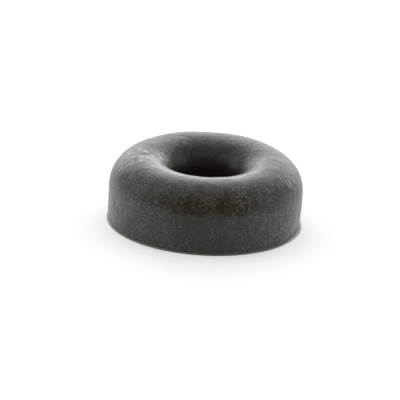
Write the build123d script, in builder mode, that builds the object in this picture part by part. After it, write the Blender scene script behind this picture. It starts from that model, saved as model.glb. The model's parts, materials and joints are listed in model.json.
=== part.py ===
from build123d import *
import os

# Rubber stopper: one solid ring, moulded in black rubber in a single piece.
# It sits on a flat seat, has a straight outer wall and a full-round crest, and
# slides over a post or screw through its plain central bore.  The crest rolls
# into the bore as a wide flare, so the ring gives softly when something meets
# it.  The mould parts on the seat's plane, which leaves a thin trimmed lip of
# flash round the foot of the wall.
#
# Frame: millimetres, +Z up, origin at the centre of the seat, bore along Z.

# Driving dimensions
outer_diameter = 30.0  # straight wall, between the flash lip and the crest
bore_diameter = 10.0  # hole for the post or screw that carries the ring
overall_height = 10.8  # from the seat to the top of the crest
bore_mouth_radius = 0.4  # rounded edge where the bore meets the seat
flash_stand_out = 0.14  # how far the trimmed lip stands out of the wall
flash_thickness = 0.20  # upright edge of the lip
flash_hollow_height = 0.25  # hollow that blends the lip into the wall

# What follows from them
outer_radius = outer_diameter / 2
bore_radius = bore_diameter / 2
crest_radius = (outer_radius - bore_radius) / 2  # full round, from wall to bore
crest_line_radius = (outer_radius + bore_radius) / 2  # circle of the highest points
spring_height = overall_height - crest_radius  # where both walls turn into the crest
lip_radius = outer_radius + flash_stand_out
wall_foot_height = flash_thickness + flash_hollow_height

with BuildPart() as stopper_ring:
    # Half section in the XZ plane, drawn anticlockwise from the foot of the bore.
    with BuildSketch(Plane.XZ):
        with BuildLine():
            seat = Line((bore_radius, 0), (lip_radius, 0))
            lip = Line(seat @ 1, (lip_radius, flash_thickness))
            # The hollow starts straight down from the wall and curls out to the lip.
            hollow = TangentArc((outer_radius, wall_foot_height), lip @ 1, tangent=(0, -1))
            wall = Line(hollow @ 0, (outer_radius, spring_height))
            crest = ThreePointArc(
                wall @ 1,
                (crest_line_radius, overall_height),
                (bore_radius, spring_height),
            )
            Line(crest @ 1, seat @ 0)
        make_face()
    revolve(axis=Axis.Z)
    # The mouth of the bore is the smallest circle on the seat.
    seat_edges = stopper_ring.edges().filter_by(GeomType.CIRCLE).group_by(Axis.Z)[0]
    fillet(seat_edges.sort_by(SortBy.RADIUS)[0], radius=bore_mouth_radius)

stopper_ring.part.label = "stopper_ring"
os.makedirs("parts", exist_ok=True)
export_step(stopper_ring.part, "parts/stopper_ring.step")

bore_length = spring_height - bore_mouth_radius
print(f"volume {stopper_ring.part.volume:.1f} mm3, straight bore {bore_length:.2f} mm long")
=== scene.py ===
import json
import math
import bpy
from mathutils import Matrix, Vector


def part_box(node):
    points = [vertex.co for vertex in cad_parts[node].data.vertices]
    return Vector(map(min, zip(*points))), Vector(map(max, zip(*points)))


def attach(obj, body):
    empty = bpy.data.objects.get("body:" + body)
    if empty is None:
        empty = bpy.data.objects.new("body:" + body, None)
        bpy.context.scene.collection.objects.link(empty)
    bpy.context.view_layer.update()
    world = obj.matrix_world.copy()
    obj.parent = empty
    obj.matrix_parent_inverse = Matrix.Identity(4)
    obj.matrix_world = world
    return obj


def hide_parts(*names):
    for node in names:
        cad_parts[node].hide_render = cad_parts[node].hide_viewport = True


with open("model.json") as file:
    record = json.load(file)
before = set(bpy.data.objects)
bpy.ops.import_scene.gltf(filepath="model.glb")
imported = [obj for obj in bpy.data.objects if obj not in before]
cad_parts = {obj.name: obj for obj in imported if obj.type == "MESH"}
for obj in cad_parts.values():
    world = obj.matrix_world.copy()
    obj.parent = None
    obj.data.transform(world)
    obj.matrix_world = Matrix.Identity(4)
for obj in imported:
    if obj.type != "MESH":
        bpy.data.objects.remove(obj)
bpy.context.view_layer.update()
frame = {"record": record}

from types import SimpleNamespace

import bpy
import numpy as np
from mathutils import Matrix, Vector

mm = 0.001


# ---- Stopper ring ---------------------------------------------------------------------------------
# One thick ring of black rubber, pressed hot in a two-part mould and left as it came out. The halves
# met on the plane of the seat, so a thin lip of flash, trimmed by hand, runs round the foot. It stands
# on its flat seat, and a post or screw passes through the plain bore.

# Heights are above the seat. The crest is a half circle that springs from the wall and from the bore at
# the same height, and the crest line runs round its top.
highest_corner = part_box("stopper_ring")[1]
bore = next(mount for mount in frame["record"]["mounts"] if mount["name"] == "bore")
bore_radius = bore["dims"]["r_mm"] * mm
bore_length = bore["dims"]["length_mm"] * mm
mouth_radius = bore["pos_m"][2] - bore_length / 2
spring_height = bore["pos_m"][2] + bore_length / 2
crest_radius = highest_corner.z - spring_height
crest_line_radius = bore_radius + crest_radius
wall_radius = bore_radius + 2 * crest_radius
flash_stand_out = highest_corner.x - wall_radius
flash_thickness = 0.20 * mm
flash_hollow_height = 0.25 * mm
groove_depth = 0.05 * mm
wall_foot_height = flash_thickness + flash_hollow_height

# How finely the ring is divided, all the way round and along each run of its section.
steps_around = 460
seat_steps, lip_steps, hollow_steps, wall_steps = 10, 4, 10, 36
crest_steps, bore_steps, mouth_steps = 130, 16, 6


def shares(steps):
    """Even shares of a run, from 0 to just short of 1, where the next run starts."""
    return np.linspace(0, 1, steps, endpoint=False)


def ring_section():
    """The closed half section, from the mouth of the bore outwards and round, anticlockwise.

    The seat is level, the lip is upright, and the hollow is a parabola that leaves the wall
    straight and ends at the lip. Then come the wall, the half circle of the crest from wall to
    bore, the bore, and a quarter circle that rounds the bore into the seat.
    Gives four arrays: the radius, the height, and how much of the flash and of the groove over it
    each point carries. The seat carries the flash as the twelfth power of the share of its width, so
    only its outer edge moves. The groove is one hump of a squared sine, nearer the lip than the wall.
    """
    seat = shares(seat_steps)
    lip = shares(lip_steps)
    hollow = shares(hollow_steps)
    wall = shares(wall_steps)
    crest = math.pi * shares(crest_steps)
    shaft = shares(bore_steps)
    mouth = math.pi / 2 * (1 - shares(mouth_steps))
    seat_start = bore_radius + mouth_radius
    radius = np.concatenate([
        seat_start + (wall_radius - seat_start) * seat,
        np.full(lip_steps, wall_radius),
        np.full(hollow_steps, wall_radius),
        np.full(wall_steps, wall_radius),
        crest_line_radius + crest_radius * np.cos(crest),
        np.full(bore_steps, bore_radius),
        seat_start - mouth_radius * np.sin(mouth),
    ])
    height = np.concatenate([
        np.zeros(seat_steps),
        flash_thickness * lip,
        flash_thickness + flash_hollow_height * hollow,
        wall_foot_height + (spring_height - wall_foot_height) * wall,
        spring_height + crest_radius * np.sin(crest),
        spring_height + (mouth_radius - spring_height) * shaft,
        mouth_radius - mouth_radius * np.cos(mouth),
    ])
    flash = np.concatenate([
        seat ** 12,
        np.ones(lip_steps),
        (1 - hollow) ** 2,
        np.zeros(wall_steps + crest_steps + bore_steps + mouth_steps),
    ])
    groove = np.zeros(len(radius))
    groove[seat_steps + lip_steps:][:hollow_steps] = np.sin(math.pi * hollow ** 0.7) ** 2
    return radius, height, flash, groove


def ripple(points, wavelength, seed, waves=28):
    """An uneven field over points, about -1 to 1: the sum of sine waves that run in random directions,
    at up to a quarter more or less than the wavelength, over the square root of twice their number."""
    pick = np.random.default_rng(seed)
    ways = pick.normal(size=(waves, 3))
    ways /= np.linalg.norm(ways, axis=1, keepdims=True)
    turns = 2 * math.pi / (wavelength * pick.uniform(0.75, 1.25, waves))
    starts = pick.uniform(0, 2 * math.pi, waves)
    phase = points @ (ways * turns[:, None]).T + starts
    return np.sin(phase).sum(axis=-1) / math.sqrt(waves * 2)


def ease(value, nothing, everything):
    """0 where the value is at nothing, 1 where it is at everything, and eased in between."""
    share = np.clip((value - nothing) / (everything - nothing), 0, 1)
    return share * share * (3 - 2 * share)


def rub_patch(points, centre, reach, ragged):
    """1 round a centre, given in millimetres, falling to 0 at its reach, with a ragged edge."""
    distance = np.linalg.norm(points - np.array(centre) * mm, axis=-1) / (reach * mm)
    return ease(distance + 0.35 * ragged, 1.0, 0.45)


# Where the crest was rubbed: the centre, to the right of the axis, behind it and above the seat, and
# then the reach, all in millimetres. Behind, it was rubbed only lightly, and nothing is rubbed below
# the shoulder.
left_rub = (-10.2, -1.4, 10.8), 5.2
back_rub = (-6.5, 7.8, 10.6), 3.6
back_rub_share = 0.3
shoulder_height = 8.6 * mm
clear_of_shoulder_height = 9.6 * mm


def rub_marks(points):
    """Where the crest was rubbed, and the wavy ridges that rubbing rolls up in rubber.

    A ridge runs where a bent field crosses zero. The field is about 0.85 mm from one zero to the next,
    and is drawn out to nearly twice that from side to side. The ridge's height is a bell curve of the
    field's value, and a crease runs beside it, where the field is about two thirds. Another field
    breaks both into short lengths. All three marks are from 0 to 1.
    """
    ragged = ripple(points, 3.5 * mm, 21)
    rubbed = rub_patch(points, *left_rub, ragged)
    rubbed = np.maximum(rubbed, back_rub_share * rub_patch(points, *back_rub, ragged))
    rubbed = rubbed * ease(points[..., 2], shoulder_height, clear_of_shoulder_height)
    bent = points + 0.35 * mm * ripple(points, 1.5 * mm, 22)[..., None]
    field = ripple(bent * (0.55, 1, 1), 1.7 * mm, 23)
    short = rubbed * ease(ripple(points, 1.6 * mm, 24), -0.4, 0.4)
    ridges = short * np.exp(-(field / 0.32) ** 2)
    creases = short * np.exp(-((field - 0.65) / 0.25) ** 2)
    return rubbed, ridges, creases


# Where the flash was trimmed: the way round from +X in degrees, how far the cut reaches to each side,
# and the change to the flash as a share of its full width. Where that leaves less than no flash, the
# knife bit into the foot.
trims = [
    (-178, 12, 0.35), (-150, 12, -0.5), (-115, 16, -0.7), (-75, 25, 0.1),
    (-42, 9, 0.3), (-21, 12, -1.2), (-3, 10, -0.3),
]

# Where the mould let the ring come out uneven: the way round and the reach in degrees, as before, then
# how far the crest is swollen, or sunk where that is below 0, or how far the foot of the wall leans in,
# in millimetres. Each sets in between two heights, from none to full.
crest_swells = [(65, 22, 0.14), (110, 14, 0.10), (-90, 45, -0.12)]
swell_heights = 6.0 * mm, 9.0 * mm
foot_leans = [(-14, 20, 0.30), (-165, 14, 0.08), (-128, 18, 0.10)]
lean_heights = 4.5 * mm, 0.3 * mm

# How the skin came out of the mould: the height and wavelength of its slow swells and of its finer
# grain, in millimetres, and the seed of each.
skin_ripples = [(0.030, 9, 11), (0.016, 3.2, 12), (0.010, 1.8, 14), (0.008, 1.0, 13)]
uneven_above_height = 0.6 * mm

# How high rubbing rolled up the ridges, and how deep it left the creases beside them.
ridge_height = 0.06 * mm
crease_depth = 0.04 * mm


def bell(around, place, reach):
    """1 at a place on the way round, falling off to both sides as a bell curve. Both are in degrees."""
    apart = (np.degrees(around) - place + 180) % 360 - 180
    return np.exp(-(apart / reach) ** 2)


def bells(around, places):
    """The sum of bell curves on the way round, each given by its place, its reach and its height."""
    return sum(height * bell(around, place, reach) for place, reach, height in places)


def flash_share(around):
    """How far the flash stands out all round, from below 0 to 1 at the most: an even part, a ragged
    part, and a bell curve for each trim."""
    rim = np.stack([np.cos(around), np.sin(around), 0 * around], axis=-1) * wall_radius
    ragged = 0.18 * ripple(rim, 7 * mm, 3) + 0.14 * ripple(rim, 1.8 * mm, 4)
    return np.minimum(0.35 + ragged + bells(around, trims), 1)


def skin_push(around, points, ridges, creases):
    """How far the skin is pushed out along its normal.

    It swells slowly by a few hundredths of a millimetre, has a finer grain over that, and carries the
    ridges and creases. The crest is swollen or sunk in places. The seat stays flat.
    """
    z = points[..., 2]
    uneven = sum(tall * mm * ripple(points, long * mm, seed) for tall, long, seed in skin_ripples)
    worn = ridge_height * ridges - crease_depth * creases
    swollen = mm * bells(around, crest_swells) * ease(z, *swell_heights)
    above_the_seat = np.clip(z / uneven_above_height, 0, 1)
    return above_the_seat * (uneven + worn + swollen)


def moulded_ring():
    """The section carried round the axis, then pushed in and out along its own normal.

    Before that, the wall is drawn in a little towards its foot in places. The normal is the section's
    tangent turned a quarter. Also gives the marks of wear at every point.
    """
    radius, height, flash, groove = ring_section()
    around = np.linspace(0, 2 * math.pi, steps_around, endpoint=False)

    z = height[:, None] + 0 * around
    outer = ease(radius, crest_line_radius, wall_radius)[:, None]
    r = radius[:, None] - mm * bells(around, foot_leans) * outer * ease(z, *lean_heights)
    r += flash[:, None] * flash_stand_out * flash_share(around) - groove[:, None] * groove_depth
    points = np.stack([r * np.cos(around), r * np.sin(around), z], axis=-1)

    along_r = np.roll(r, -1, axis=0) - np.roll(r, 1, axis=0)
    along_z = np.roll(z, -1, axis=0) - np.roll(z, 1, axis=0)
    normals = np.stack([along_z * np.cos(around), along_z * np.sin(around), -along_r], axis=-1)
    normals /= np.hypot(along_r, along_z)[..., None]

    rubbed, ridges, creases = rub_marks(points)
    push = skin_push(around, points, ridges, creases)
    marks = {"rubbed": rubbed, "ridges": ridges, "creases": creases}
    marks["flash"] = np.broadcast_to(flash[:, None], r.shape)
    marks["groove"] = np.broadcast_to(groove[:, None], r.shape)
    return points + normals * push[..., None], marks


def grid_mesh(name, points, marks):
    """A mesh from a grid that closes on itself both ways, with quads that face outwards. Each mark is
    a number at every point, kept as an attribute of that name."""
    rows, columns = points.shape[:2]
    index = np.arange(rows * columns).reshape(rows, columns)
    onwards = np.roll(index, -1, axis=1)
    up = np.roll(index, -1, axis=0)
    both = np.roll(onwards, -1, axis=0)
    faces = np.stack([index, onwards, both, up], axis=-1).reshape(-1, 4)
    mesh = bpy.data.meshes.new(name)
    mesh.vertices.add(rows * columns)
    mesh.vertices.foreach_set("co", points.astype(np.float32).ravel())
    mesh.loops.add(faces.size)
    mesh.loops.foreach_set("vertex_index", faces.astype(np.int32).ravel())
    mesh.polygons.add(len(faces))
    mesh.polygons.foreach_set("loop_start", np.arange(0, faces.size, 4, dtype=np.int32))
    mesh.update(calc_edges=True)
    mesh.polygons.foreach_set("use_smooth", np.ones(len(faces), bool))
    for mark_name, values in marks.items():
        data = mesh.attributes.new(mark_name, "FLOAT", "POINT").data
        data.foreach_set("value", values.astype(np.float32).ravel())
    mesh.validate()
    mesh.update()
    return mesh


def join(tree, value, socket):
    """Feeds the socket from another one, or sets it to a plain value."""
    if isinstance(value, bpy.types.NodeSocket):
        tree.links.new(value, socket)
    else:
        socket.default_value = value


def maths(tree, operation, *values):
    """One number worked out from others."""
    node = tree.nodes.new("ShaderNodeMath")
    node.operation = operation
    for value, socket in zip(values, node.inputs):
        join(tree, value, socket)
    return node.outputs[0]


def product(tree, first, *others):
    """Several numbers multiplied together."""
    for other in others:
        first = maths(tree, "MULTIPLY", first, other)
    return first


def summed(tree, start, *parts):
    """A start plus all the parts, where each part is a weight and the number that it multiplies."""
    for weight, value in parts:
        start = maths(tree, "MULTIPLY_ADD", value, weight, start)
    return start


def between(tree, share, at_none, at_full):
    """The first number where the share is 0, the second where it is 1, and in proportion between."""
    return maths(tree, "MULTIPLY_ADD", share, at_full - at_none, at_none)


def fade(tree, value, nothing, everything):
    """0 where the value is at nothing, 1 where it is at everything, and eased in between."""
    node = tree.nodes.new("ShaderNodeMapRange")
    node.interpolation_type = "SMOOTHSTEP"
    join(tree, value, node.inputs["Value"])
    node.inputs["From Min"].default_value = nothing
    node.inputs["From Max"].default_value = everything
    return node.outputs["Result"]


def cloud(tree, place, size, detail=0.0, harsh=0.5):
    """An uneven cloud about a half, with lumps of about that size in millimetres. Detail is how many
    times lumps of half the size are laid over, each harsh times as strong as the last."""
    node = tree.nodes.new("ShaderNodeTexNoise")
    join(tree, place, node.inputs["Vector"])
    node.inputs["Scale"].default_value = 1 / size
    node.inputs["Detail"].default_value = detail
    node.inputs["Roughness"].default_value = harsh
    return node.outputs["Fac"]


def away(tree, place, centre):
    """How far a place is from a centre, in the place's own units."""
    node = tree.nodes.new("ShaderNodeVectorMath")
    node.operation = "DISTANCE"
    join(tree, place, node.inputs[0])
    node.inputs[1].default_value = centre
    return node.outputs["Value"]


def patch(tree, place, centre, reach, ragged):
    """1 round a centre, given in millimetres, a half about its reach and 0 beyond, with a ragged edge."""
    edge = summed(tree, away(tree, place, centre), (reach * 1.2, ragged))
    return fade(tree, edge, reach * 1.6, reach * 0.5)


def line(tree, value, middle, width):
    """1 where the value is at the middle, falling to 0 at half the width to each side."""
    off = maths(tree, "ABSOLUTE", maths(tree, "SUBTRACT", value, middle))
    return fade(tree, off, width * 0.5, width * 0.1)


def grit(tree, place, spacing, size, share):
    """Round flecks. Space is cut into cells of about the spacing, and a share of them hold one fleck
    each, whose radius is the cell's own random part, from 0.4 to 1, of the full size."""
    node = tree.nodes.new("ShaderNodeTexVoronoi")
    join(tree, place, node.inputs["Vector"])
    node.inputs["Scale"].default_value = 1 / spacing
    lot = tree.nodes.new("ShaderNodeSeparateColor")
    tree.links.new(node.outputs["Color"], lot.inputs["Color"])
    picked = maths(tree, "GREATER_THAN", lot.outputs["Red"], 1 - share)
    radius = between(tree, lot.outputs["Green"], 0.4 * size / spacing, size / spacing)
    near = maths(tree, "DIVIDE", node.outputs["Distance"], radius)
    return product(tree, picked, fade(tree, near, 1.0, 0.5))


def coloured(tree, share, under, over):
    """One colour laid over another by a share. A Mix node has a socket of each name for every kind of
    value, so its colour sockets are picked by number."""
    node = tree.nodes.new("ShaderNodeMix")
    node.data_type = "RGBA"
    factor, first_colour, second_colour = node.inputs[0], node.inputs[6], node.inputs[7]
    join(tree, share, factor)
    join(tree, under, first_colour)
    join(tree, over, second_colour)
    return node.outputs[2]


def place_in_ring(tree):
    """The place in millimetres, how far right, behind, high and from the axis it is, and unrolled.

    Unrolled, X is the way round from the front along the outer wall, and Y is the way up the section,
    the angle about the middle of the crest times its radius. Both are in millimetres.
    """
    coordinates = tree.nodes.new("ShaderNodeTexCoord")
    scaled = tree.nodes.new("ShaderNodeVectorMath")
    scaled.operation = "SCALE"
    tree.links.new(coordinates.outputs["Object"], scaled.inputs[0])
    scaled.inputs["Scale"].default_value = 1 / mm
    place = scaled.outputs[0]

    apart = tree.nodes.new("ShaderNodeSeparateXYZ")
    tree.links.new(place, apart.inputs[0])
    x, y, z = apart.outputs
    squares = maths(tree, "ADD", maths(tree, "POWER", x, 2.0), maths(tree, "POWER", y, 2.0))
    from_axis = maths(tree, "SQRT", squares)

    around = maths(tree, "ARCTAN2", x, product(tree, y, -1.0))
    over_spring = maths(tree, "SUBTRACT", z, spring_height / mm)
    up = maths(tree, "ARCTAN2", over_spring, maths(tree, "SUBTRACT", from_axis, crest_line_radius / mm))
    unrolled = tree.nodes.new("ShaderNodeCombineXYZ")
    tree.links.new(product(tree, around, wall_radius / mm), unrolled.inputs["X"])
    tree.links.new(product(tree, up, crest_radius / mm), unrolled.inputs["Y"])
    return SimpleNamespace(
        place=place, right=x, behind=y, height=z, from_axis=from_axis, unrolled=unrolled.outputs[0],
    )


def combed(tree, place, size, stretch):
    """A cloud drawn out by so many times along each axis."""
    node = tree.nodes.new("ShaderNodeMapping")
    join(tree, place, node.inputs["Vector"])
    node.inputs["Scale"].default_value = [1 / times for times in stretch]
    return cloud(tree, node.outputs["Vector"], size, detail=1)


def mark(tree, name):
    """One of the numbers that the mesh carries at its points."""
    node = tree.nodes.new("ShaderNodeAttribute")
    node.attribute_name = name
    return node.outputs["Fac"]


# Patches of wear and dirt, and of painted light: the wiped patch is partly a painted dark reflection,
# and the smudge a painted highlight. Each is the centre, to the right of the axis, behind it and above
# the seat, and then the reach, all in millimetres.
wiped_and_reflection_patch = (0.5, -13.8, 8.2), 5.5
under_rim_patch = (0.5, -12.4, 9.8), 4.8
handled_patch = (1.5, -15.0, 3.5), 5.0
near_edge_patch = (-1.6, -10.2, 10.8), 8.5
left_lip_patch = (-7.4, -3.0, 10.2), 2.2
# The smudge is a painted highlight, spreading down from the near rim.
highlight_smudge_patch = (-1.5, -12.6, 9.8), 1.8
brushed_patch = (-14.0, -4.5, 6.0), 5.0
scored_patch = (12.5, -5.8, 9.0), 1.9
tide_patch = (9.0, 0.6, 10.6), 4.0
dusty_line_patch = (-8.0, -12.7, 0.8), 4.0

# Where each kind of wear begins, and where it is full: heights above the seat, or distances from the
# axis, behind it or to either side of it, in millimetres.
settled_heights = 8.0, 10.8
dusted_sideways = 3.8, 6.0
dusted_behind = 4.2, 1.2
dusted_from_axis = 10.0, 8.8
inside_from_axis = 9.5, 6.8
deep_heights = 8.6, 6.6
# The wiped patch is partly a painted dark reflection of the room in front.
wiped_and_reflection_heights = 4.5, 7.5
under_rim_heights = 8.2, 9.6
near_edge_outer, near_edge_inner = (12.2, 11.2), (8.3, 9.5)
left_lip_outer, left_lip_inner = (9.4, 8.4), (6.8, 7.8)
# Where the far streaks lie. They partly paint a highlight along the far crest's top edge.
streaks_and_highlight_behind = 2.0, 6.0
streaks_and_highlight_from_axis = 8.0, 9.0

# Where a drop dried, as a centre like those above. Then how far from it the clean spot ends and how
# far it is quite clean, and the distance and width of the tide line round it.
drop_place = (11.2, -2.6, 10.2)
cleaned_reach = 3.6, 2.2
tide_middle, tide_width = 3.6, 2.6

# The height and width of the dusty line over the flash.
dusty_line_height, dusty_line_width = 0.75, 0.30

# Where single grains of grit stuck, as centres like those above.
stuck_grains = [
    (-9.3, -10.0, 9.2), (-5.6, -13.1, 8.5), (-7.6, -12.6, 7.5), (-3.7, -14.5, 4.4),
    (-6.3, -13.6, 3.2), (-4.9, -14.2, 1.0), (12.5, -2.9, 9.9), (7.8, -2.5, 10.5),
]

# Colours of the bare rubber, and of the painted shade in the creases and in the groove.
warm_black = (0.019, 0.011, 0.004, 1)
cool_black = (0.011, 0.009, 0.008, 1)
bore_black = (0.020, 0.010, 0.006, 1)
# Brown where the film was wiped, partly a painted dark reflection of the room in front.
wiped_brown_and_painted_reflection = (0.017, 0.011, 0.003, 1)
# Painted shade in the creases beside the ridges.
crease_painted_shade = (0.012, 0.010, 0.008, 1)
# Painted shade in the groove over the flash.
groove_painted_shade = (0.010, 0.008, 0.006, 1)

# Colours of the dust, of rubber that was rubbed pale, which on the ridges is partly a painted highlight,
# and of the torn edge of the flash.
warm_dust = (0.41, 0.34, 0.26, 1)
grey_dust = (0.35, 0.32, 0.30, 1)
# Brown dust on the wiped patch, partly a painted dark reflection of the room in front.
brown_dust_and_painted_reflection = (0.36, 0.29, 0.19, 1)
crest_dust = (0.39, 0.35, 0.36, 1)
# Dust on the burnished rim, tinted lilac as a painted tint of its highlight.
burnished_dust_and_highlight_tint = (0.41, 0.35, 0.42, 1)
# Pale ridges, rubbed pale and partly a painted highlight of their lit side.
ridge_pale_and_painted_highlight = (0.66, 0.63, 0.63, 1)
flash_beige = (0.36, 0.29, 0.21, 1)


def rubber_clouds(tree, place):
    """The clouds that make everything uneven, from the film's grain up to broad drifts of dust."""
    mottle = cloud(tree, place, 1.1, detail=3, harsh=0.9)
    blotch = cloud(tree, place, 2.6, detail=2)
    return SimpleNamespace(
        grain=cloud(tree, place, 0.30, detail=1.5, harsh=0.8),
        mottle=mottle,
        lumps=fade(tree, mottle, 0.36, 0.68),
        blotch=blotch,
        broad=cloud(tree, place, 10, detail=1),
        ragged=maths(tree, "SUBTRACT", blotch, 0.5),
    )


def worn_places(tree, at, ragged):
    """Where the film differs, each kind of place from 0 to 1.

    Dust settled on the crest and lies thick on its inner slope at the left and right. Inside the hole
    the film is thinned, which darkens it, and deep in it the skin has no sheen. On a stretch of the
    front shoulder the pale film was wiped off, which left brown dust, and the brown there is partly a
    painted dark reflection of the room in front. Between that and the rim the film is thinner and more
    even, apart from one pale smudge that paints the highlight spreading down from the rim, and handling
    has thinned it on the front of the wall. The near edge of the hole and a short piece of its left lip
    are burnished. Where the crest was rubbed is one of the mesh's own marks.
    """
    sideways = maths(tree, "ADD", maths(tree, "ABSOLUTE", at.right), ragged)
    dusted = product(
        tree,
        fade(tree, sideways, *dusted_sideways),
        fade(tree, at.behind, *dusted_behind),
        fade(tree, at.from_axis, *dusted_from_axis),
    )
    # Inside the hole the film is thinned to 0.15 of its amount, which darkens the hole.
    inside = product(
        tree,
        fade(tree, at.from_axis, *inside_from_axis),
        between(tree, dusted, 1.0, 0.15),
    )
    deep = product(tree, inside, fade(tree, at.height, *deep_heights))
    # Brown dust where the film was wiped, and a painted dark reflection of the room in front.
    wiped_and_painted_reflection = product(
        tree,
        fade(tree, maths(tree, "ADD", at.height, ragged), *wiped_and_reflection_heights),
        patch(tree, at.place, *wiped_and_reflection_patch, ragged),
    )
    under_the_rim = product(
        tree,
        fade(tree, at.height, *under_rim_heights),
        patch(tree, at.place, *under_rim_patch, ragged),
    )
    near_edge = product(
        tree,
        fade(tree, at.from_axis, *near_edge_outer),
        fade(tree, at.from_axis, *near_edge_inner),
        patch(tree, at.place, *near_edge_patch, ragged),
    )
    left_lip = product(
        tree,
        fade(tree, at.from_axis, *left_lip_outer),
        fade(tree, at.from_axis, *left_lip_inner),
        patch(tree, at.place, *left_lip_patch, ragged),
    )
    return SimpleNamespace(
        settled=fade(tree, at.height, *settled_heights),
        dusted=dusted,
        inside=inside,
        deep=deep,
        wiped_and_painted_reflection=wiped_and_painted_reflection,
        under_the_rim=under_the_rim,
        # A pale smudge that paints the highlight spreading below the rim.
        painted_highlight_smudge=patch(tree, at.place, *highlight_smudge_patch, ragged),
        handled=patch(tree, at.place, *handled_patch, ragged),
        burnished=summed(tree, near_edge, (0.6, left_lip)),
        rubbed=mark(tree, "rubbed"),
    )


def dried_drop(tree, at, ragged):
    """A drop that dried on the right of the crest: the clean spot it left, and the pale tide line that
    runs round part of it."""
    from_drop = summed(tree, away(tree, at.place, drop_place), (4.0, ragged))
    cleaned = fade(tree, from_drop, *cleaned_reach)
    tide = product(
        tree,
        line(tree, from_drop, tide_middle, tide_width),
        patch(tree, at.place, *tide_patch, ragged),
    )
    return cleaned, tide


def fine_strokes(tree, at, ragged):
    """Fine strokes up the left of the wall, and scratches down the right shoulder: drawn-out clouds of
    the unrolled surface, kept within a patch."""
    brushed = product(
        tree,
        fade(tree, combed(tree, at.unrolled, 0.36, (1, 6, 1)), 0.50, 0.66),
        patch(tree, at.place, *brushed_patch, ragged),
    )
    scored = product(
        tree,
        fade(tree, combed(tree, at.unrolled, 0.34, (1, 4, 1)), 0.52, 0.62),
        patch(tree, at.place, *scored_patch, ragged),
    )
    return summed(tree, scored, (0.35, brushed))


def far_streaks_and_highlight(tree, at, settled):
    """The far side of the crest was wiped from side to side, which left pale streaks that also paint the
    highlight along its top edge: a cloud drawn out along X."""
    streaks = fade(tree, combed(tree, at.place, 0.55, (7, 1, 1)), 0.42, 0.64)
    return product(
        tree,
        between(tree, streaks, 0.15, 1.0),
        settled,
        fade(tree, at.behind, *streaks_and_highlight_behind),
        fade(tree, at.from_axis, *streaks_and_highlight_from_axis),
    )


def stuck_grit(tree, place):
    """Grit: loose specks of two sizes all over, and a few larger grains that stuck."""
    large = grit(tree, place, 1.7, 0.17, 0.12)
    small = grit(tree, place, 0.7, 0.08, 0.12)
    specks = maths(tree, "MAXIMUM", large, small)
    for grain_place in stuck_grains:
        grain = fade(tree, away(tree, place, grain_place), 0.20, 0.08)
        specks = maths(tree, "MAXIMUM", specks, grain)
    return specks


def line_over_flash(tree, at, ragged):
    """A dusty line a little above the flash, on the left of the front."""
    level = summed(tree, at.height, (0.5, ragged))
    return product(
        tree,
        line(tree, level, dusty_line_height, dusty_line_width),
        patch(tree, at.place, *dusty_line_patch, ragged),
    )


def dust_film(tree, at, clouds, worn, strokes, specks):
    """How much of the rubber the film hides, up to nine tenths.

    It is the film's texture, of fine grains and of lumps, times the amount of dust that lies there.
    The strokes, the streaks, which partly paint a highlight along the far crest's top edge, the tide
    line, dusty line and grit lie over that.
    """
    cleaned, tide = dried_drop(tree, at, clouds.ragged)
    amount = summed(
        tree,
        0.22,
        (0.45, fade(tree, clouds.blotch, 0.35, 0.70)),
        (0.25, fade(tree, clouds.broad, 0.35, 0.70)),
        (0.60, worn.settled),
        (0.15, worn.rubbed),
        (1.45, worn.dusted),
        # A pale smudge that paints the highlight spreading below the rim.
        (0.30, worn.painted_highlight_smudge),
    )
    amount = product(
        tree,
        amount,
        between(tree, worn.inside, 1.0, 0.15),
        between(tree, cleaned, 1.0, 0.25),
        between(tree, worn.burnished, 1.0, 0.70),
        between(tree, worn.handled, 1.0, 0.50),
        between(tree, worn.under_the_rim, 1.0, 0.65),
    )
    grains = product(
        tree,
        fade(tree, clouds.grain, 0.45, 0.64),
        between(tree, worn.wiped_and_painted_reflection, 0.28, 0.54),
        between(tree, worn.under_the_rim, 1.0, 0.50),
    )
    lumps = product(tree, clouds.lumps, between(tree, worn.wiped_and_painted_reflection, 0.14, 0.18))
    texture = summed(tree, grains, (1.0, lumps), (0.06, worn.under_the_rim))
    film = summed(
        tree,
        product(tree, texture, amount),
        (0.30, strokes),
        # The far streaks partly paint the highlight along the far crest's top edge.
        (0.44, far_streaks_and_highlight(tree, at, worn.settled)),
        (1.0, product(tree, tide, between(tree, clouds.lumps, 0.10, 1.40))),
        (0.35, product(tree, line_over_flash(tree, at, clouds.ragged), clouds.lumps)),
        (0.50, specks),
    )
    return maths(tree, "MINIMUM", film, 0.9)


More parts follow.
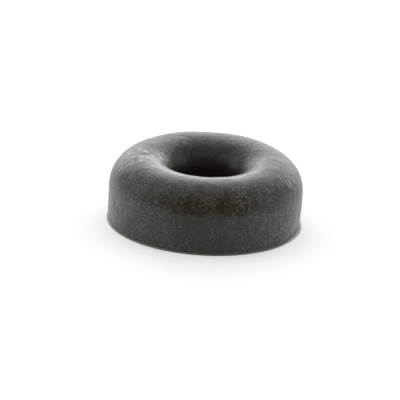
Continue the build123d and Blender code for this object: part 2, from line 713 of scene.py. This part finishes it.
def skin_colour(tree, clouds, worn, film):
    """Bare rubber, with dust over it by the film's share, and over both the pale ridges, partly a painted
    highlight, the painted shade in the creases, the torn flash and the painted shade in the groove."""
    bare = coloured(tree, fade(tree, clouds.blotch, 0.35, 0.65), warm_black, cool_black)
    bare = coloured(tree, worn.inside, bare, bore_black)
    # On the wiped patch the bare rubber turns brown, partly a painted dark reflection of the room in
    # front.
    brown = product(tree, worn.wiped_and_painted_reflection, fade(tree, clouds.mottle, 0.30, 0.60))
    bare = coloured(tree, brown, bare, wiped_brown_and_painted_reflection)

    dust = coloured(tree, fade(tree, clouds.mottle, 0.35, 0.65), warm_dust, grey_dust)
    # There the dust turns brown too, partly a painted dark reflection.
    dust = coloured(tree, worn.wiped_and_painted_reflection, dust, brown_dust_and_painted_reflection)
    on_top = product(tree, worn.settled, between(tree, worn.inside, 1.0, 0.0))
    dust = coloured(tree, on_top, dust, crest_dust)
    # The burnished rim's dust is tinted lilac, a painted tint of its highlight.
    dust = coloured(tree, worn.burnished, dust, burnished_dust_and_highlight_tint)

    colour = coloured(tree, film, bare, dust)
    # The ridges are pale, partly a painted highlight.
    colour = coloured(tree, product(tree, mark(tree, "ridges"), 0.80), colour, ridge_pale_and_painted_highlight)
    # Painted shade in the creases.
    colour = coloured(tree, product(tree, mark(tree, "creases"), 0.90), colour, crease_painted_shade)
    torn = product(tree, mark(tree, "flash"), between(tree, clouds.lumps, 0.60, 1.0))
    colour = coloured(tree, torn, colour, flash_beige)
    # Painted shade in the groove over the flash.
    return coloured(tree, product(tree, mark(tree, "groove"), 0.30), colour, groove_painted_shade)


def skin_sheen(tree, clouds, worn, strokes):
    """How strong the skin's own sheen is, uneven as its grain, over the rubber's duller shine.

    It is calmer on the crest, under the rim and inside the hole, weaker where it was handled, nearly
    gone on the wiped patch, whose colour partly paints a dark reflection, gone deep inside the hole, and
    strong where it is burnished.
    """
    glints = maths(tree, "ADD", fade(tree, clouds.grain, 0.46, 0.70), strokes)
    calm = maths(tree, "MAXIMUM", worn.settled, worn.inside)
    calm = maths(tree, "MAXIMUM", worn.under_the_rim, calm)
    uneven = product(tree, glints, between(tree, calm, 1.0, 0.60))
    sheen = product(
        tree,
        summed(tree, 0.28, (0.66, uneven)),
        between(tree, worn.wiped_and_painted_reflection, 1.0, 0.10),
        between(tree, worn.handled, 1.0, 0.65),
        between(tree, worn.deep, 1.0, 0.0),
    )
    sheen = summed(tree, sheen, (0.72, worn.burnished))
    return maths(tree, "MINIMUM", sheen, 1.0)


def rubber():
    """Black rubber, warm brown-black where it is bare, under a thin grey film of mould talc and dust.

    The film gives the colour and dulls the shine, the skin's sheen is a coat, and grain, mottle, grit
    and strokes stand up as fine relief.
    """
    material = bpy.data.materials.new("dusty_black_rubber")
    material.use_nodes = True
    tree = material.node_tree
    shader = tree.nodes["Principled BSDF"]

    at = place_in_ring(tree)
    clouds = rubber_clouds(tree, at.place)
    worn = worn_places(tree, at, clouds.ragged)
    strokes = fine_strokes(tree, at, clouds.ragged)
    specks = stuck_grit(tree, at.place)
    film = dust_film(tree, at, clouds, worn, strokes, specks)
    tree.links.new(skin_colour(tree, clouds, worn, film), shader.inputs["Base Color"])

    dulled = summed(tree, 0.21, (0.30, film), (-0.06, worn.burnished), (0.30, clouds.grain))
    tree.links.new(dulled, shader.inputs["Roughness"])
    tree.links.new(skin_sheen(tree, clouds, worn, strokes), shader.inputs["Coat Weight"])
    shader.inputs["Coat IOR"].default_value = 1.5
    shader.inputs["Coat Roughness"].default_value = 0.32
    shader.inputs["Specular IOR Level"].default_value = 0.35

    # The relief's heights are in millimetres.
    relief = summed(
        tree,
        0.0,
        (0.08, clouds.grain),
        (0.05, clouds.mottle),
        (0.03, specks),
        (0.015, strokes),
    )
    bump = tree.nodes.new("ShaderNodeBump")
    bump.inputs["Distance"].default_value = mm
    tree.links.new(relief, bump.inputs["Height"])
    tree.links.new(bump.outputs["Normal"], shader.inputs["Normal"])
    return material


ring = bpy.data.objects.new("moulded_stopper_ring", grid_mesh("moulded_stopper_ring", *moulded_ring()))
bpy.context.scene.collection.objects.link(ring)
ring.data.materials.append(rubber())
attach(ring, "root")
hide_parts("stopper_ring")


# ---- Table ----------------------------------------------------------------------------------------
# A plain table top with a matt white finish, far larger than the ring. The ring only stands on it, and
# casts its shadow there.

table_half = 3.0
table_white = (0.82, 0.82, 0.82, 1)
table_glow = 0.45
glow_start_radius = wall_radius
glow_full_radius = wall_radius + 0.2 * mm


def white_table():
    """Matt white. Where the eye or a reflection meets it, a little light of its own is added, so that
    it reads as clear white and still keeps the ring's shadow. Under the ring there is no such light,
    and none inside the hole."""
    material = bpy.data.materials.new("matt_white_table")
    material.use_nodes = True
    tree = material.node_tree
    shader = tree.nodes["Principled BSDF"]
    shader.inputs["Base Color"].default_value = table_white
    shader.inputs["Roughness"].default_value = 1.0
    shader.inputs["Specular IOR Level"].default_value = 0.0

    ray = tree.nodes.new("ShaderNodeLightPath").outputs
    seen = maths(tree, "MAXIMUM", ray["Is Camera Ray"], ray["Is Glossy Ray"])
    seen = maths(tree, "MAXIMUM", seen, ray["Is Transmission Ray"])
    place = tree.nodes.new("ShaderNodeTexCoord").outputs["Object"]
    clear_of_the_ring = tree.nodes.new("ShaderNodeMapRange")
    clear_of_the_ring.inputs["From Min"].default_value = glow_start_radius
    clear_of_the_ring.inputs["From Max"].default_value = glow_full_radius
    clear_of_the_ring.inputs["To Max"].default_value = table_glow
    tree.links.new(away(tree, place, (0, 0, 0)), clear_of_the_ring.inputs["Value"])
    shader.inputs["Emission Color"].default_value = (1, 1, 1, 1)
    glow = product(tree, seen, clear_of_the_ring.outputs["Result"])
    tree.links.new(glow, shader.inputs["Emission Strength"])
    return material


table_mesh = bpy.data.meshes.new("table_top")
corner_signs = [(-1, -1), (1, -1), (1, 1), (-1, 1)]
corners = [(x * table_half, y * table_half, 0) for x, y in corner_signs]
table_mesh.from_pydata(corners, [], [(0, 1, 2, 3)])
table_top = bpy.data.objects.new("table_top", table_mesh)
table_top.data.materials.append(white_table())
bpy.context.scene.collection.objects.link(table_top)


# ---- Light ----------------------------------------------------------------------------------------
# Soft boxes a metre away from the ring: three in a bank behind it, one overhead, two at each side and a
# faint one high in front. The rest is a dim room.

lamp_distance = 1.0


def soft_box(name, azimuth, elevation, width, depth, power):
    """A rectangular lamp that faces the ring, sized in metres and watts. Azimuth 0 is behind the ring,
    and 90 is to its right."""
    turn, rise = math.radians(azimuth), math.radians(elevation)
    level = lamp_distance * math.cos(rise)
    place = Vector((level * math.sin(turn), level * math.cos(turn), lamp_distance * math.sin(rise)))
    lamp = bpy.data.lights.new(name, "AREA")
    lamp.shape = "RECTANGLE"
    lamp.size, lamp.size_y = width, depth
    lamp.energy = power
    box = bpy.data.objects.new(name, lamp)
    box.matrix_world = Matrix.Translation(place) @ place.to_track_quat("Z", "Y").to_matrix().to_4x4()
    bpy.context.scene.collection.objects.link(box)


# Name, azimuth and elevation in degrees, width, depth, power.
soft_box("back_low_box", 0, 12, 1.9, 0.38, 4.6)
soft_box("back_middle_box", 0, 34, 1.7, 0.40, 3.7)
soft_box("back_high_box", 0, 57, 1.3, 0.40, 1.8)
soft_box("top_box", 0, 82, 0.8, 0.5, 1.0)
soft_box("left_box", -90, 35, 0.7, 0.8, 1.8)
soft_box("right_box", 90, 35, 0.7, 0.8, 1.4)
soft_box("left_low_box", -75, 8, 1.0, 0.24, 0.3)
soft_box("right_low_box", 75, 8, 1.0, 0.24, 0.5)
soft_box("front_box", 180, 62, 0.8, 0.45, 0.6)

room = bpy.data.worlds.new("room")
room.use_nodes = True
room_light = room.node_tree.nodes["Background"].inputs
room_light["Color"].default_value = (1, 1, 1, 1)
room_light["Strength"].default_value = 0.15
bpy.context.scene.world = room
bpy.context.scene.view_settings.view_transform = "Standard"


# ---- Camera ---------------------------------------------------------------------------------------
# A long lens from a metre and a half back and a little above, held slightly out of level, with the
# ring just right of and above the middle of the frame.

camera_elevation = math.radians(20.2)
camera_roll = math.radians(3.24)
camera_distance = 1.5
frame_width = 61.9 * mm
aim_height = 4.5 * mm
ring_right_of_middle = 0.87 * mm
ring_above_middle = 0.88 * mm

backwards = Vector((0, -math.cos(camera_elevation), math.sin(camera_elevation)))
level_up = Vector((0, math.sin(camera_elevation), math.cos(camera_elevation)))
level_right = Vector((1, 0, 0))
right = math.cos(camera_roll) * level_right + math.sin(camera_roll) * level_up
up = math.cos(camera_roll) * level_up - math.sin(camera_roll) * level_right
aim = Vector((0, 0, aim_height)) - ring_right_of_middle * right - ring_above_middle * up

lens = bpy.data.cameras.new("camera")
lens.sensor_width = 36
lens.lens = lens.sensor_width * camera_distance / frame_width
lens.clip_start, lens.clip_end = 0.1, 10
camera = bpy.data.objects.new("camera", lens)
facing = Matrix((right, up, backwards)).transposed().to_4x4()
camera.matrix_world = Matrix.Translation(aim + camera_distance * backwards) @ facing
bpy.context.scene.collection.objects.link(camera)
bpy.context.scene.camera = camera
